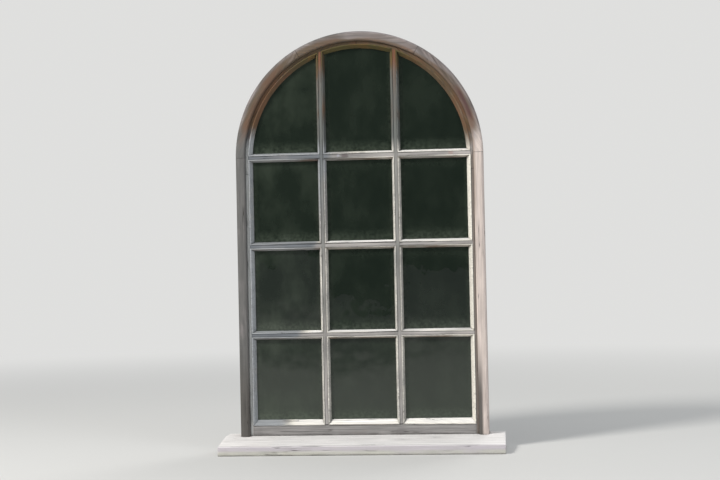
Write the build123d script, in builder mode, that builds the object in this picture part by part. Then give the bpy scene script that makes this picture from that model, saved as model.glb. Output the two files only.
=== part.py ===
from build123d import *
from math import atan2, cos, degrees, radians, sin, sqrt, tan
import os

os.makedirs("parts", exist_ok=True)

# Round-headed window: a fixed twelve-light timber sash in a timber frame on a projecting sill.
# Millimetres. +Z is up, outdoors is -Y, and +X is to the right seen from outdoors.
# The origin is on the centre line, under the sill, in the plane of the frame's outer face.

# Lights and glazing bars
COLUMNS = 3
STRAIGHT_ROWS = 3
PANE_WIDTH = 244.0
PANE_HEIGHT = 298.0
BAR_WIDTH = 32.0
NOSE_WIDTH = 14.0

# Glass and the splayed beads that hold it
GLASS_THICK = 4.0
GLASS_EDGE_GAP = 2.0
BEAD_DEPTH = 17.0
BEAD_PROUD = 2.5
BEAD_CREST = 3.0
BEAD_TOE = 3.0
OUTER_BEAD = 14.0
BOTTOM_BEAD = 20.0

# Sash: stiles, bottom rail and arched head
SASH_DEPTH = 44.0
SASH_FACE = 11.0
RAIL_HEIGHT = 58.0
MOULD_RADIUS = 9.0
MOULD_QUIRK = 1.0
HEAD_LEG = 60.0

# Frame: jambs and arched head
FRAME_DEPTH = 96.0
FRAME_THICK = 36.0
NIB_DEPTH = 14.0
NIB_LAP = 12.0
NIB_ROUND = 8.0
FACE_ROUND = 11.0
SASH_FIT = 1.0

# Sill
SILL_HORN = 59.0
SILL_PROJECTION = 150.0
SILL_EDGE = 34.0
SILL_SEAT = 54.0
SILL_ROUND = 4.0
DRIP_RADIUS = 5.0
DRIP_SETBACK = 22.0

# Joints between the members
JOINT_GAP = 0.5
TENON_THICK = 10.0
TENON_SETBACK = 3.0
BAR_TENON_WIDTH = 16.0
BAR_TENON_LENGTH = 18.0
BAR_WEB = 4.0
UPRIGHT_TENON_RISE = 6.0
RAIL_TENON_MARGIN = 8.0
RAIL_TENON_LENGTH = 30.0
LEG_TENON_WIDTH = 16.0
LEG_TENON_LENGTH = 24.0
JAMB_TENON_THICK = 12.0
JAMB_TENON_WIDTH = 40.0
JAMB_TENON_LENGTH = 30.0
TONGUE_THICK = 8.0
TONGUE_LENGTH = 50.0
HEAD_SEGMENT = 60.0

# Stop beads on the inside, and their screws
STOP_WIDTH = 18.0
STOP_THICK = 16.0
STOP_ROUND = 5.0
STOP_SCREWS = 4
SILL_STOP_SCREWS = 3
ARCH_SCREW_ANGLES = (22.5, 67.5)
SCREW_RADIUS = 2.0
SCREW_HEAD_RADIUS = 4.0
SCREW_GRIP = 14.0
SCREW_CLEARANCE = 0.15
SCREW_TIP = 4.0
COUNTERSINK_ANGLE = 90.0
SLOT_WIDTH = 1.0
SLOT_DEPTH = 1.0

# Fixing holes through the jambs into the wall
FIXING_RADIUS = 4.0
FIXING_COUNT = 4
FIXING_SPACING = 260.0
FIXING_SETBACK = 11.0

# Widths worked out from the lights, half spans measured from the centre line
pitch_x = PANE_WIDTH + BAR_WIDTH
pitch_z = PANE_HEIGHT + BAR_WIDTH
bar_bead = (BAR_WIDTH - NOSE_WIDTH) / 2
sight_r = (COLUMNS * pitch_x - BAR_WIDTH) / 2
rebate_r = sight_r + OUTER_BEAD
nib_r = rebate_r + SASH_FACE
sash_r = nib_r + NIB_LAP
lining_r = sash_r + SASH_FIT
frame_r = nib_r + FRAME_THICK
sill_reach = frame_r + SILL_HORN
lining_mid_r = (lining_r + frame_r) / 2

# Depths, front to back
sash_front = NIB_DEPTH
glass_front = sash_front + BEAD_DEPTH
shoulder = glass_front + GLASS_THICK
sash_back = sash_front + SASH_DEPTH
tenon_y = shoulder + TENON_SETBACK + TENON_THICK / 2
lining_mid_y = (NIB_DEPTH + FRAME_DEPTH) / 2

# Heights
sight_z = SILL_SEAT + RAIL_HEIGHT
spring_z = sight_z + STRAIGHT_ROWS * pitch_z - BAR_WIDTH / 2
leg_z = spring_z - HEAD_LEG
bar_heights = [spring_z - row * pitch_z for row in range(STRAIGHT_ROWS)]
upright_places = [(column - COLUMNS / 2) * pitch_x for column in range(1, COLUMNS)]

arch_axis = Axis((0, 0, spring_z), (0, -1, 0))
column_names = ["left", "centre", "right"]
row_names = ["lower", "middle", "upper", "arch"]


def keep(name, *solids):
    """Label one finished piece, or a group of separate solids, and write it out."""
    piece = solids[0] if len(solids) == 1 else Compound(children=list(solids))
    piece.label = name
    export_step(piece, f"parts/{name}.step")


def keep_mirrored(name, solid):
    """Write the other hand of a piece."""
    with BuildPart() as other_hand:
        mirror(solid, about=Plane.YZ)
    keep(name, other_hand.part)
    return other_hand.part


def radial_plane(angle):
    """The section plane of the arch at an angle: x is outward, y is towards the inside."""
    a = radians(angle)
    return Plane(origin=(0, 0, spring_z), x_dir=(cos(a), 0, sin(a)), z_dir=(-sin(a), 0, cos(a)))


def cross_plane(x, z):
    """The section plane of a level member: x is downward, y is towards the inside."""
    return Plane(origin=(x, 0, z), x_dir=(0, 0, -1), z_dir=(1, 0, 0))


def upright_top(x):
    """Top of an upright's tenon: above the place where its nose meets the head's rebate."""
    nose_side = abs(x) - NOSE_WIDTH / 2
    return spring_z + sqrt(rebate_r**2 - nose_side**2) + UPRIGHT_TENON_RISE


def block(centre, size, mode):
    """A tenon, tongue or mortise."""
    with Locations(centre):
        Box(*size, mode=mode)


def tongue_block(angle, middle_r, middle_y, width, length, mode):
    """A loose tongue, or its slot, across a joint of an arched head."""
    with Locations(radial_plane(angle)):
        with Locations((middle_r, middle_y, 0)):
            Box(TONGUE_THICK, width, length, mode=mode)


# Sections

with BuildSketch() as frame_section:
    with BuildLine():
        Polyline(
            (nib_r, 0),
            (frame_r, 0),
            (frame_r, FRAME_DEPTH),
            (lining_r, FRAME_DEPTH),
            (lining_r, NIB_DEPTH),
            (nib_r, NIB_DEPTH),
            close=True,
        )
    make_face()
    fillet(frame_section.vertices().group_by(Axis.Y)[0].sort_by(Axis.X)[0], NIB_ROUND)
    fillet(frame_section.vertices().group_by(Axis.Y)[0].sort_by(Axis.X)[-1], FACE_ROUND)


def mould(edge, side):
    """The inner moulding: a quirk, a quarter round and a quirk, going back from the glass."""
    quirk = edge + side * MOULD_QUIRK
    nose = quirk + side * MOULD_RADIUS
    round_front = sash_back - MOULD_QUIRK - MOULD_RADIUS
    Polyline((edge, shoulder), (edge, round_front), (quirk, round_front))
    CenterArc((nose, round_front), MOULD_RADIUS, 90 + side * 90, -side * 90)
    Line((nose, sash_back - MOULD_QUIRK), (nose, sash_back))
    return nose


def sash_member(sight, rebate, outer):
    """Section of a stile, the head or the bottom rail: rebate outdoors, moulding indoors."""
    with BuildSketch() as member:
        with BuildLine():
            nose = mould(sight, 1)
            Polyline(
                (nose, sash_back),
                (outer, sash_back),
                (outer, sash_front),
                (rebate, sash_front),
                (rebate, shoulder),
                (sight, shoulder),
            )
        make_face()
    return member.sketch


sash_section = sash_member(sight_r, rebate_r, sash_r)
rail_section = sash_member(0, BOTTOM_BEAD, RAIL_HEIGHT)

with BuildSketch() as bar_section:
    with BuildLine():
        nose = mould(BAR_WIDTH / 2, -1)
        mould(-BAR_WIDTH / 2, 1)
        Line((nose, sash_back), (-nose, sash_back))
        Polyline(
            (BAR_WIDTH / 2, shoulder),
            (NOSE_WIDTH / 2, shoulder),
            (NOSE_WIDTH / 2, sash_front),
            (-NOSE_WIDTH / 2, sash_front),
            (-NOSE_WIDTH / 2, shoulder),
            (-BAR_WIDTH / 2, shoulder),
        )
    make_face()

with BuildSketch() as stop_section:
    with Locations((lining_r, sash_back)):
        Rectangle(STOP_WIDTH, STOP_THICK, align=(Align.MAX, Align.MIN))
    fillet(stop_section.vertices().group_by(Axis.Y)[-1].sort_by(Axis.X)[0], STOP_ROUND)


def bead_section(width):
    """Across a glazing bead: x runs from the rebate over the glass, y runs out from the glass."""
    with BuildSketch() as bead:
        with BuildLine():
            Polyline(
                (0, 0),
                (width, 0),
                (width, BEAD_TOE),
                (BEAD_CREST, BEAD_DEPTH + BEAD_PROUD),
                (0, BEAD_DEPTH + BEAD_PROUD),
                close=True,
            )
        make_face()
    return bead.sketch


bead_sections = {width: bead_section(width) for width in (bar_bead, OUTER_BEAD, BOTTOM_BEAD)}

# Screws of the stop beads: each plane lies on the bead's open side and faces out of it.


def side_screw_plane(z):
    middle_y = sash_back + STOP_THICK / 2
    return Plane(origin=(lining_r - STOP_WIDTH, middle_y, z), z_dir=(-1, 0, 0))


def arch_screw_plane(angle):
    middle_y = sash_back + STOP_THICK / 2
    a = radians(angle)
    r = lining_r - STOP_WIDTH
    return Plane(origin=(r * cos(a), middle_y, spring_z + r * sin(a)), z_dir=(-cos(a), 0, -sin(a)))


def sill_screw_plane(x):
    middle_y = sash_back + STOP_THICK / 2
    return Plane(origin=(x, middle_y, SILL_SEAT + STOP_WIDTH), z_dir=(0, 0, 1))


side_spacing = (spring_z - SILL_SEAT) / STOP_SCREWS
side_planes = [side_screw_plane(SILL_SEAT + (n + 0.5) * side_spacing) for n in range(STOP_SCREWS)]
arch_planes = [arch_screw_plane(angle) for angle in ARCH_SCREW_ANGLES]
sill_spacing = 2 * lining_r / SILL_STOP_SCREWS
sill_offsets = [(n - (SILL_STOP_SCREWS - 1) / 2) * sill_spacing for n in range(SILL_STOP_SCREWS)]
sill_planes = [sill_screw_plane(x) for x in sill_offsets]


def bead_holes(planes):
    """Clearance holes with countersinks, through a stop bead."""
    with Locations(*planes):
        CounterSinkHole(
            SCREW_RADIUS + SCREW_CLEARANCE,
            SCREW_HEAD_RADIUS + SCREW_CLEARANCE,
            depth=STOP_WIDTH,
            counter_sink_angle=COUNTERSINK_ANGLE,
        )


def grip_holes(planes):
    """The screws' holes in the frame or the sill, behind a stop bead."""
    with Locations(*planes):
        Hole(SCREW_RADIUS + SCREW_CLEARANCE, depth=STOP_WIDTH + SCREW_GRIP)


# Sill: level seat under the frame, weathered slope in front, throating underneath
with BuildPart() as sill:
    with BuildSketch(Plane.YZ) as sill_profile:
        with BuildLine():
            Polyline(
                (-SILL_PROJECTION, 0),
                (FRAME_DEPTH, 0),
                (FRAME_DEPTH, SILL_SEAT),
                (sash_front, SILL_SEAT),
                (-SILL_PROJECTION, SILL_EDGE),
                close=True,
            )
        make_face()
        fillet(sill_profile.vertices().group_by(Axis.X)[0].sort_by(Axis.Y)[-1], SILL_ROUND)
        with Locations((DRIP_SETBACK - SILL_PROJECTION, 0)):
            Circle(DRIP_RADIUS, mode=Mode.SUBTRACT)
    extrude(amount=sill_reach, both=True)
    jamb_mortise = (JAMB_TENON_THICK, JAMB_TENON_WIDTH, 2 * JAMB_TENON_LENGTH)
    for side in (-1, 1):
        block((side * lining_mid_r, lining_mid_y, SILL_SEAT), jamb_mortise, Mode.SUBTRACT)
    grip_holes(sill_planes)
keep("sill", sill.part)

# Frame head: three segments, with slots for the loose tongues and mortises for the jambs
head_tenon = (JAMB_TENON_THICK, JAMB_TENON_WIDTH, 2 * LEG_TENON_LENGTH)
with BuildPart() as frame_head_right:
    with BuildSketch(radial_plane(0)):
        add(frame_section.sketch)
    revolve(axis=arch_axis, revolution_arc=HEAD_SEGMENT)
    block((lining_mid_r, lining_mid_y, spring_z), head_tenon, Mode.SUBTRACT)
    tongue_block(
        HEAD_SEGMENT, lining_mid_r, lining_mid_y, JAMB_TENON_WIDTH, TONGUE_LENGTH, Mode.SUBTRACT
    )
    grip_holes(arch_planes)
keep("frame_head_right", frame_head_right.part)
keep_mirrored("frame_head_left", frame_head_right.part)

with BuildPart() as frame_head_crown:
    with BuildSketch(radial_plane(HEAD_SEGMENT)):
        add(frame_section.sketch)
    revolve(axis=arch_axis, revolution_arc=180 - 2 * HEAD_SEGMENT)
    for angle in (HEAD_SEGMENT, 180 - HEAD_SEGMENT):
        tongue_block(
            angle, lining_mid_r, lining_mid_y, JAMB_TENON_WIDTH, TONGUE_LENGTH, Mode.SUBTRACT
        )
    grip_holes(arch_planes + [arch_screw_plane(180 - angle) for angle in ARCH_SCREW_ANGLES])
keep("frame_head_crown", frame_head_crown.part)

head_tongues = []
for angle in (HEAD_SEGMENT, 180 - HEAD_SEGMENT):
    with BuildPart() as tongue:
        tongue_block(
            angle,
            lining_mid_r,
            lining_mid_y,
            JAMB_TENON_WIDTH,
            TONGUE_LENGTH - 2 * JOINT_GAP,
            Mode.ADD,
        )
    head_tongues.append(tongue.part)
keep("frame_head_tongues", *head_tongues)

# Jambs: the foot is scribed to the sill and what runs on into the mortise is the tenon
with BuildPart() as jamb_right:
    with BuildSketch(Plane.XY.offset(spring_z)):
        add(frame_section.sketch)
    extrude(amount=-(spring_z - SILL_SEAT + JAMB_TENON_LENGTH - JOINT_GAP))
    add(sill.part, mode=Mode.SUBTRACT)
    with Locations((lining_mid_r, lining_mid_y, spring_z)):
        Box(
            JAMB_TENON_THICK,
            JAMB_TENON_WIDTH,
            LEG_TENON_LENGTH - JOINT_GAP,
            align=(Align.CENTER, Align.CENTER, Align.MIN),
        )
    grip_holes(side_planes)
    fixing_middle = (lining_r, FRAME_DEPTH - FIXING_SETBACK, (SILL_SEAT + spring_z) / 2)
    with Locations(Plane(origin=fixing_middle, x_dir=(0, 1, 0), z_dir=(-1, 0, 0))):
        with GridLocations(0, FIXING_SPACING, 1, FIXING_COUNT):
            Hole(FIXING_RADIUS, depth=FRAME_THICK)
keep("jamb_right", jamb_right.part)
keep_mirrored("jamb_left", jamb_right.part)

# Sash stiles and the two halves of the arched sash head
bar_mortise = (2 * BAR_TENON_LENGTH, TENON_THICK, BAR_TENON_WIDTH)
leg_middle_r = (rebate_r + sash_r) / 2
with BuildPart() as sash_stile_right:
    with BuildSketch(Plane.XY.offset(leg_z)):
        add(sash_section)
    extrude(amount=-(leg_z - SILL_SEAT))
    with Locations((leg_middle_r, tenon_y, leg_z)):
        Box(
            LEG_TENON_WIDTH,
            TENON_THICK,
            LEG_TENON_LENGTH - JOINT_GAP,
            align=(Align.CENTER, Align.CENTER, Align.MIN),
        )
    for z in bar_heights[1:]:
        block((sight_r, tenon_y, z), bar_mortise, Mode.SUBTRACT)
    rail_tenon_height = RAIL_HEIGHT - BOTTOM_BEAD - 2 * RAIL_TENON_MARGIN
    block(
        (sight_r, tenon_y, SILL_SEAT + RAIL_TENON_MARGIN + rail_tenon_height / 2),
        (2 * RAIL_TENON_LENGTH, TENON_THICK, rail_tenon_height),
        Mode.SUBTRACT,
    )
keep("sash_stile_right", sash_stile_right.part)
sash_stile_left = keep_mirrored("sash_stile_left", sash_stile_right.part)

with BuildPart() as sash_head_right:
    with BuildSketch(radial_plane(0)):
        add(sash_section)
    revolve(axis=arch_axis, revolution_arc=90)
    with BuildSketch(radial_plane(0)):
        add(sash_section)
    extrude(amount=-HEAD_LEG)
    block(
        (leg_middle_r, tenon_y, leg_z),
        (LEG_TENON_WIDTH, TENON_THICK, 2 * LEG_TENON_LENGTH),
        Mode.SUBTRACT,
    )
    block((sight_r, tenon_y, spring_z), bar_mortise, Mode.SUBTRACT)
    for x in upright_places:
        with Locations((x, tenon_y, upright_top(x))):
            Box(
                BAR_TENON_WIDTH,
                TENON_THICK,
                2 * BAR_TENON_LENGTH,
                align=(Align.CENTER, Align.CENTER, Align.MAX),
                mode=Mode.SUBTRACT,
            )
    tongue_block(90, leg_middle_r, tenon_y, TENON_THICK, TONGUE_LENGTH, Mode.SUBTRACT)
keep("sash_head_right", sash_head_right.part)
sash_head_left = keep_mirrored("sash_head_left", sash_head_right.part)

with BuildPart() as sash_head_tongue:
    tongue_block(
        90, leg_middle_r, tenon_y, TENON_THICK, TONGUE_LENGTH - 2 * JOINT_GAP, Mode.ADD
    )
keep("sash_head_tongue", sash_head_tongue.part)

# Bottom rail: run on into the stiles' mortises and scribed to the stiles
with BuildPart() as sash_bottom_rail:
    with BuildSketch(cross_plane(0, sight_z)):
        add(rail_section)
    extrude(amount=sight_r + RAIL_TENON_LENGTH - JOINT_GAP, both=True)
    add([sash_stile_left, sash_stile_right.part], mode=Mode.SUBTRACT)
    for x in upright_places:
        block(
            (x, tenon_y, sight_z),
            (BAR_TENON_WIDTH, TENON_THICK, 2 * BAR_TENON_LENGTH),
            Mode.SUBTRACT,
        )
keep("sash_bottom_rail", sash_bottom_rail.part)

# Upright bars: scribed to the rail and the arched head, mortised on both sides for the cross bars
uprights = []
for x, side in zip(upright_places, ("left", "right")):
    foot_z = sight_z - BAR_TENON_LENGTH + JOINT_GAP
    with BuildPart() as upright:
        with BuildSketch(Plane(origin=(x, 0, foot_z))):
            add(bar_section.sketch)
        extrude(amount=upright_top(x) - JOINT_GAP - foot_z)
        add([sash_bottom_rail.part, sash_head_left, sash_head_right.part], mode=Mode.SUBTRACT)
        for z in bar_heights:
            for hand in (-1, 1):
                block(
                    (x + hand * (BAR_WEB + BAR_WIDTH) / 2, tenon_y, z),
                    (BAR_WIDTH, TENON_THICK, BAR_TENON_WIDTH),
                    Mode.SUBTRACT,
                )
    keep(f"upright_bar_{side}", upright.part)
    uprights.append(upright.part)

# Cross bars: cut between the uprights and scribed to what they meet
outer_end = sight_r + BAR_TENON_LENGTH - JOINT_GAP
web_end = BAR_WEB / 2 + JOINT_GAP
bar_starts = [-outer_end] + [x + web_end for x in upright_places]
bar_ends = [x - web_end for x in upright_places] + [outer_end]
left_side = [sash_stile_left, sash_head_left]
right_side = [sash_stile_right.part, sash_head_right.part]
for z, level in zip(bar_heights, ("upper", "middle", "lower")):
    for column, side in enumerate(column_names):
        with BuildPart() as cross_bar:
            with BuildSketch(cross_plane(bar_starts[column], z)):
                add(bar_section.sketch)
            extrude(amount=bar_ends[column] - bar_starts[column])
            add(uprights + left_side + right_side, mode=Mode.SUBTRACT)
        keep(f"cross_bar_{level}_{side}", cross_bar.part)


class Side:
    """One side of a light: where its sight line is, and the width of its bead."""

    outward = {"bottom": (0, -1), "right": (1, 0), "top": (0, 1), "left": (-1, 0)}

    def __init__(self, kind, sight, bead):
        self.kind = kind
        self.sight = sight
        self.bead = bead

    def moved(self, depth):
        """The side's own coordinate, or the arch's radius, when it is moved outward."""
        return self.sight - depth if self.kind in ("left", "bottom") else self.sight + depth


def crossing(first, second, first_depth, second_depth, hand):
    """Where two neighbouring sides meet when each is moved outward by its depth."""
    place = {first.kind: first.moved(first_depth), second.kind: second.moved(second_depth)}
    x = place.get("left", place.get("right"))
    z = place.get("bottom", place.get("top"))
    if x is None:
        x = hand * sqrt(place["arch"] ** 2 - (z - spring_z) ** 2)
    if z is None:
        z = spring_z + sqrt(place["arch"] ** 2 - x**2)
    return x, z


def light_sides(row, column):
    """The sides of a light, anticlockwise from the bottom as seen from outdoors."""
    left_x = column * pitch_x - sight_r
    bottom_z = sight_z + row * pitch_z
    arched = row == STRAIGHT_ROWS
    first, last = column == 0, column == COLUMNS - 1
    sides = [Side("bottom", bottom_z, bar_bead if row else BOTTOM_BEAD)]
    if not (arched and last):
        sides.append(Side("right", left_x + PANE_WIDTH, OUTER_BEAD if last else bar_bead))
    if arched:
        sides.append(Side("arch", sight_r, OUTER_BEAD))
    else:
        sides.append(Side("top", bottom_z + PANE_HEIGHT, bar_bead))
    if not (arched and first):
        sides.append(Side("left", left_x, OUTER_BEAD if first else bar_bead))
    return sides


def corners(sides, hand, inset=None):
    """Where each side starts: on the sight lines, or out in the rebate short of it by an inset."""
    moves = [0 if inset is None else side.bead - inset for side in sides]
    before = [sides[-1]] + sides[:-1]
    before_moves = [moves[-1]] + moves[:-1]
    return [crossing(*four, hand) for four in zip(before, sides, before_moves, moves)]


def arch_angle(point):
    return degrees(atan2(point[1] - spring_z, point[0]))


def pane_solid(sides, hand):
    """A pane, cut smaller than its rebate all round."""
    points = corners(sides, hand, GLASS_EDGE_GAP)
    with BuildPart() as pane:
        with BuildSketch(Plane.XZ.offset(-glass_front)):
            with BuildLine():
                for side, start, end in zip(sides, points, points[1:] + points[:1]):
                    if side.kind == "arch":
                        r = side.moved(side.bead - GLASS_EDGE_GAP)
                        start_angle, end_angle = arch_angle(start), arch_angle(end)
                        CenterArc((0, spring_z), r, start_angle, end_angle - start_angle)
                    else:
                        Line(start, end)
            make_face()
        extrude(amount=-GLASS_THICK)
    return pane.part


def mitre(sight, rebate, forward):
    """The upright plane through a corner, facing the bead that runs forward (1) or back (-1)."""
    x, z = rebate[0] - sight[0], rebate[1] - sight[1]
    return Plane((sight[0], 0, sight[1]), x_dir=(x, 0, z), z_dir=(-forward * z, 0, forward * x))


def straight_bead(side, ends, start_mitre, end_mitre):
    """A bead along a straight side: run past both ends by its own width and mitred back."""
    out_x, out_z = side.outward[side.kind]
    along_x, along_z = -out_z, out_x
    reach = [x * along_x + z * along_z for x, z in ends]
    first, last = min(reach) - side.bead, max(reach) + side.bead
    x = side.moved(side.bead) if out_x else along_x * first
    z = side.moved(side.bead) if out_z else along_z * first
    with BuildPart() as bead:
        with BuildSketch(
            Plane((x, glass_front, z), x_dir=(-out_x, 0, -out_z), z_dir=(along_x, 0, along_z))
        ):
            add(bead_sections[side.bead])
        extrude(amount=last - first)
        split(bisect_by=start_mitre, keep=Keep.TOP)
        split(bisect_by=end_mitre, keep=Keep.TOP)
    return bead.part


def curved_bead(side, ends, start_mitre, end_mitre):
    """A bead bent round the arch: run past both ends by its own width and mitred back."""
    angles = [arch_angle(point) for point in ends]
    spare = degrees(side.bead / side.sight)
    first, last = min(angles) - spare, max(angles) + spare
    a, r = radians(first), side.moved(side.bead)
    with BuildPart() as bead:
        with BuildSketch(
            Plane(
                (r * cos(a), glass_front, spring_z + r * sin(a)),
                x_dir=(-cos(a), 0, -sin(a)),
                z_dir=(-sin(a), 0, cos(a)),
            )
        ):
            add(bead_sections[side.bead])
        revolve(axis=arch_axis, revolution_arc=last - first)
        split(bisect_by=start_mitre, keep=Keep.TOP)
        split(bisect_by=end_mitre, keep=Keep.TOP)
    return bead.part


def bead_solids(sides, hand):
    """The splayed beads round a light, mitred where they meet."""
    inner, outer = corners(sides, hand), corners(sides, hand, 0)
    beads = []
    for n, side in enumerate(sides):
        after = (n + 1) % len(sides)
        ends = (inner[n], outer[n], inner[after], outer[after])
        start_mitre = mitre(inner[n], outer[n], 1)
        end_mitre = mitre(inner[after], outer[after], -1)
        shape = curved_bead if side.kind == "arch" else straight_bead
        beads.append(shape(side, ends, start_mitre, end_mitre))
    return beads


# Glass and glazing beads, light by light
for row, level in enumerate(row_names):
    for column, side_name in enumerate(column_names):
        sides = light_sides(row, column)
        hand = -1 if column == 0 else 1
        keep(f"pane_{level}_{side_name}", pane_solid(sides, hand))
        keep(f"glazing_beads_{level}_{side_name}", *bead_solids(sides, hand))

# Stop beads: they hold the sash against the frame's nib, mitred at the sill
stop_inner = (lining_r - STOP_WIDTH, SILL_SEAT + STOP_WIDTH)
stop_outer = (lining_r, SILL_SEAT)
with BuildPart() as stop_bead_right:
    with BuildSketch(Plane.XY.offset(spring_z)):
        add(stop_section.sketch)
    extrude(amount=-(spring_z - SILL_SEAT))
    split(bisect_by=mitre(stop_inner, stop_outer, 1), keep=Keep.TOP)
    bead_holes(side_planes)
keep("stop_bead_right", stop_bead_right.part)
keep_mirrored("stop_bead_left", stop_bead_right.part)

with BuildPart() as stop_bead_sill:
    with BuildSketch(cross_plane(0, SILL_SEAT + lining_r)):
        add(stop_section.sketch)
    extrude(amount=lining_r, both=True)
    split(bisect_by=mitre(stop_inner, stop_outer, -1), keep=Keep.TOP)
    left_inner, left_outer = (-stop_inner[0], stop_inner[1]), (-stop_outer[0], stop_outer[1])
    split(bisect_by=mitre(left_inner, left_outer, 1), keep=Keep.TOP)
    bead_holes(sill_planes)
keep("stop_bead_sill", stop_bead_sill.part)

with BuildPart() as stop_bead_head_right:
    with BuildSketch(radial_plane(0)):
        add(stop_section.sketch)
    revolve(axis=arch_axis, revolution_arc=90)
    bead_holes(arch_planes)
keep("stop_bead_head_right", stop_bead_head_right.part)
keep_mirrored("stop_bead_head_left", stop_bead_head_right.part)

# Screws of the stop beads: countersunk, slotted, a little short of their holes
with BuildPart() as screw:
    with BuildSketch(Plane.XZ):
        with BuildLine():
            head_depth = (SCREW_HEAD_RADIUS - SCREW_RADIUS) / tan(radians(COUNTERSINK_ANGLE / 2))
            tip = -(STOP_WIDTH + SCREW_GRIP - JOINT_GAP)
            Polyline(
                (0, 0),
                (SCREW_HEAD_RADIUS, 0),
                (SCREW_RADIUS, -head_depth),
                (SCREW_RADIUS, tip + SCREW_TIP),
                (0, tip),
                close=True,
            )
        make_face()
    revolve(axis=Axis.Z)
    with BuildSketch(Plane.XY):
        Rectangle(2 * SCREW_HEAD_RADIUS, SLOT_WIDTH)
    extrude(amount=-SLOT_DEPTH, mode=Mode.SUBTRACT)

with BuildPart() as stop_bead_screws:
    with Locations(*side_planes, *arch_planes):
        add(screw.part)
    mirror(about=Plane.YZ)
    with Locations(*sill_planes):
        add(screw.part)
keep("stop_bead_screws", stop_bead_screws.part)
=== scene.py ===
from math import acos, cos, pi, radians, sin

import bmesh
import bpy
import numpy as np
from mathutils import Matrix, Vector, noise


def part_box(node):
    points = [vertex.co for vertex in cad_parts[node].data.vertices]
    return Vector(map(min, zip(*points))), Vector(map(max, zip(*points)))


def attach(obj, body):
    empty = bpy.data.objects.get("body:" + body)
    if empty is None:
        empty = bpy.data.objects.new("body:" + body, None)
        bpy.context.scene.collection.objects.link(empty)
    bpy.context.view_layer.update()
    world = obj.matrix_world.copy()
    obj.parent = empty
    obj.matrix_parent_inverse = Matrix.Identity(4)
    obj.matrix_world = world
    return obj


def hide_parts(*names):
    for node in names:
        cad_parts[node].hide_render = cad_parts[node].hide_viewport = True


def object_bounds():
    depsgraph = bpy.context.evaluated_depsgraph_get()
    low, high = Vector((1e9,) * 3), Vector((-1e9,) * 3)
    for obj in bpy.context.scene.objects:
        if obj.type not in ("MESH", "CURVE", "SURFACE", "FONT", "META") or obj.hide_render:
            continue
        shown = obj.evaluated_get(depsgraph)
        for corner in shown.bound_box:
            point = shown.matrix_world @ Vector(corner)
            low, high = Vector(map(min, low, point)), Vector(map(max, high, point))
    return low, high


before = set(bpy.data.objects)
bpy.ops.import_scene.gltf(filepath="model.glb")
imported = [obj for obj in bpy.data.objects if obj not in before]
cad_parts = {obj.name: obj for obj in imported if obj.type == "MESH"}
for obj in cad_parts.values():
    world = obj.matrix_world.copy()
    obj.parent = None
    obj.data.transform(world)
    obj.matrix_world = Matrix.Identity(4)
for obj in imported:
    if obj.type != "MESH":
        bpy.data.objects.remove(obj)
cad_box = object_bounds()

# Round-headed window of weathered timber: metres, +Z up, outdoors is -Y, origin under the sill.

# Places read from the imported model; a name in _r is a distance out from the middle line
glass_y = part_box("pane_middle_centre")[0].y
frame_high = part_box("frame_head_crown")[1]
arch_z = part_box("frame_head_right")[0].z
sash_head_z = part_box("sash_head_right")[0].z
upright_low, upright_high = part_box("upright_bar_left")
cross_low, cross_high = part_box("cross_bar_lower_centre")
beads_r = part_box("glazing_beads_middle_right")[1].x
nib_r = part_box("jamb_right")[0].x
frame_r = frame_high.z - arch_z
crown_turn = acos(frame_high.x / frame_r)
pitch_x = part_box("upright_bar_right")[0].x - upright_low.x
pitch_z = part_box("cross_bar_middle_centre")[0].z - cross_low.z
sight_x = upright_high.x - pitch_x
sight_z = cross_high.z - pitch_z
right_sight = -sight_x
pane_width = upright_low.x - sight_x
pane_height = cross_low.z - sight_z
LAST_ROW = 3
LAST_COLUMN = 2

# Mesh work on the timber
WELD = 1e-5
FLAT_ANGLE = radians(0.6)
ARRIS_ANGLE = radians(40)
SMOOTH_ANGLE = radians(32)
ARRIS_LENGTH = 0.02
STEP_WIDTH = 0.002
SLICE = 0.014
WEAR_SIZE = 0.035
WEAR_DEPTH = 0.0007
SHARP_SHELL = 1.03
EASE = 0.0011
SILL_EASE = 0.0022
BEAD_EASE = 0.0006

# A bent board is at most this wide and turns at least this far, from the springing up
BENT_WIDTH = 0.026
BENT_TURN = 0.3
SPRINGING_SLACK = 0.001

# How far a board is cut from the pith, and where along the tree: the ends of a random range
PITH_NEAR = (0.03, 0.05, 0)
PITH_FAR = (0.09, 0.12, 4)

# Noises of the wood's figure: the share of the scale along the grain, the scale, detail and roughness
FIBRE = (0.03, 900, 4, 0.65)
STREAKS = (0.05, 170, 3, 0.6)
BANDS = (0.06, 60, 2, 0.5)
UNEVENNESS = (0.3, 26, 3, 0.55)
CRACK_LINES = (0.02, 120, 2, 0.5)
CRACK_PLACES = (0.12, 34, 2, 0.5)

# A slow change over the whole window: scale, detail and roughness
DRIFT = (7, 3, 0.55)

# Growth rings are this far apart, and Blender's wave texture at scale 1 has its rings this far apart
RING_SIZE = 0.0032
WAVE_SIZE = 0.314

# The relief's depth, how near a hollow's walls are, a seam's width, and where there is no seam
RELIEF_DEPTH = 0.0006
HOLLOW_REACH = 0.014
SEAM_WIDTH = (0.0010, 0.0003)
OFF_THE_LEGS = (right_sight, right_sight - 0.001)
LOW_IN_ARCH = (0.2, 0.19)

# The slanting edge of the painted sunlight, with a painted cast shadow to its left: its lean, its place at
# the sill and its softness
SUN_SLANT = 0.19
SUN_EDGE = -0.30
SUN_BLUR = 0.045

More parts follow.
